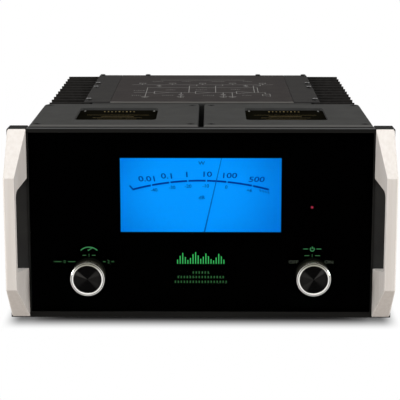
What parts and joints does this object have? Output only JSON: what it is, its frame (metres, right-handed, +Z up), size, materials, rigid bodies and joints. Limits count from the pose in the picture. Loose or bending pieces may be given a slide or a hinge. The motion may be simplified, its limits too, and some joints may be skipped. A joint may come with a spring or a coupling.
{
  "type": "monoblock amplifier",
  "caption": "Power amplifier with a glass front, a lit needle meter, two rotary knobs, faceted side handles, transformer covers and finned heat sinks.",
  "frame": {"origin": "centre of the bounding box's bottom face, on the surface that the feet stand on", "axes": "+Z up; the glass front faces -Y; +X is to the right of someone who looks at the front"},
  "size_m": [0.4444, 0.559, 0.2418],
  "materials": {
    "black_anodised": "satin black anodised aluminium",
    "black_case": "fine textured black powder coat",
    "black_mask": "gloss black acrylic",
    "brass": "plain brass",
    "can_black": "sleeved can",
    "circuit_board": "green glass-epoxy",
    "coil_copper": "enamelled copper",
    "core_steel": "varnished laminations",
    "dial_blue": "lit blue dial with dark scale",
    "front_glass": "clear glass with a low-reflection coating",
    "gold": "gold-plated brass",
    "handle_aluminium": "fine brushed, warm clear anodised",
    "heat_sink_black": "matt black anodised extrusion",
    "insulator": "moulded black",
    "knob_black": "black anodised, spun face, grooved side",
    "knob_ring": "polished bevel",
    "latch_metal": "nickel-plated",
    "led_red": "lit red lens",
    "light_guide": "clear acrylic",
    "magnet_iron": "nickel-plated iron",
    "meter_plastic": "moulded black",
    "nameplate_glass": "black back-painted plate with thin gold lines",
    "needle_black": "matt black painted blade",
    "package_black": "moulded package",
    "plated_steel": "zinc-plated sheet",
    "rubber": "matt black rubber",
    "screw_black": "black oxide",
    "shaft_steel": "turned steel",
    "socket_black": "moulded black",
    "spring_bronze": "phosphor bronze",
    "switch_body": "moulded phenolic and steel",
    "winding": "enamelled copper under tape"
  },
  "bodies": {
    "root": {"amplifier_boards": "circuit_board", "case_screws": "screw_black", "centre_bulkhead": "black_case", "chassis_pan": "black_case", "control_jacks": "shaft_steel", "cover_standoffs": "plated_steel", "deck_plate": "black_case", "deck_rails": "black_case", "deck_screws": "screw_black", "feet": "rubber", "filter_capacitors": "can_black", "front_frame": "black_anodised", "front_glass": "front_glass", "front_mask": "black_mask", "front_subpanel": "plated_steel", "input_board": "circuit_board", "input_switch": "socket_black", "left_end_block": "black_anodised", "left_end_cap": "handle_aluminium", "left_heat_sink": "heat_sink_black", "left_nameplate": "nameplate_glass", "left_transformer_cover": "black_case", "mains_inlet": "socket_black", "meter_bridges": "brass", "meter_dial": "dial_blue", "meter_hairspring": "spring_bronze", "meter_housing": "meter_plastic", "meter_light_guide": "light_guide", "meter_magnet": "magnet_iron", "output_transformer_core": "core_steel", "output_transformer_winding": "winding", "output_transistors": "package_black", "phono_jacks": "gold", "power_transformer_core": "core_steel", "power_transformer_winding": "winding", "rear_panel": "black_case", "right_end_block": "black_anodised", "right_end_cap": "handle_aluminium", "right_heat_sink": "heat_sink_black", "right_nameplate": "nameplate_glass", "right_transformer_cover": "black_case", "rotary_switches": "switch_body", "speaker_posts": "gold", "status_led": "led_red", "terminal_block": "insulator", "xlr_input": "socket_black"},
    "meter_movement": {"meter_needle": "needle_black", "moving_coil": "coil_copper"},
    "meter_knob": {"left_knob": "knob_black", "left_knob_ring": "knob_ring", "left_knob_shaft": "shaft_steel"},
    "power_knob": {"right_knob": "knob_black", "right_knob_ring": "knob_ring", "right_knob_shaft": "shaft_steel"},
    "latch": {"xlr_latch": "latch_metal"},
    "switch_lever": {"input_switch_lever": "insulator"},
    "post_cap_1": {"speaker_cap_1": "gold"},
    "post_cap_2": {"speaker_cap_2": "gold"},
    "post_cap_3": {"speaker_cap_3": "gold"},
    "post_cap_4": {"speaker_cap_4": "gold"}
  },
  "joints": [
    {"name": "meter_needle_swing", "type": "hinge", "parent": "root", "child": "meter_movement", "pos_m": [0, -0.2165, 0.0943], "axis": [0, 1, 0], "range_deg": [-60.7, 35.3], "stiffness_Nm_per_rad": 0.003, "deforming": ["meter_hairspring"]},
    {"name": "meter_knob_turn", "type": "hinge", "parent": "root", "child": "meter_knob", "pos_m": [-0.13, -0.2475, 0.067], "axis": [0, 1, 0], "range_deg": [-45, 45]},
    {"name": "power_knob_turn", "type": "hinge", "parent": "root", "child": "power_knob", "pos_m": [0.13, -0.2475, 0.067], "axis": [0, 1, 0], "range_deg": [-45, 45]},
    {"name": "xlr_latch_press", "type": "slide", "parent": "root", "child": "latch", "axis": [0, 0, -1], "range_m": [0, 0.0012], "stiffness_N_per_m": 150},
    {"name": "input_switch_slide", "type": "slide", "parent": "root", "child": "switch_lever", "axis": [0, 0, 1], "range_m": [0, 0.006]},
    {"name": "post_cap_1_turn", "type": "hinge", "parent": "root", "child": "post_cap_1", "pos_m": [-0.115, 0.268, 0.15], "axis": [0, 1, 0], "range_deg": [0, 1730]},
    {"name": "post_cap_2_turn", "type": "hinge", "parent": "root", "child": "post_cap_2", "pos_m": [-0.079, 0.268, 0.15], "axis": [0, 1, 0], "range_deg": [0, 1730]},
    {"name": "post_cap_3_turn", "type": "hinge", "parent": "root", "child": "post_cap_3", "pos_m": [-0.043, 0.268, 0.15], "axis": [0, 1, 0], "range_deg": [0, 1730]},
    {"name": "post_cap_4_turn", "type": "hinge", "parent": "root", "child": "post_cap_4", "pos_m": [-0.007, 0.268, 0.15], "axis": [0, 1, 0], "range_deg": [0, 1730]}
  ]
}
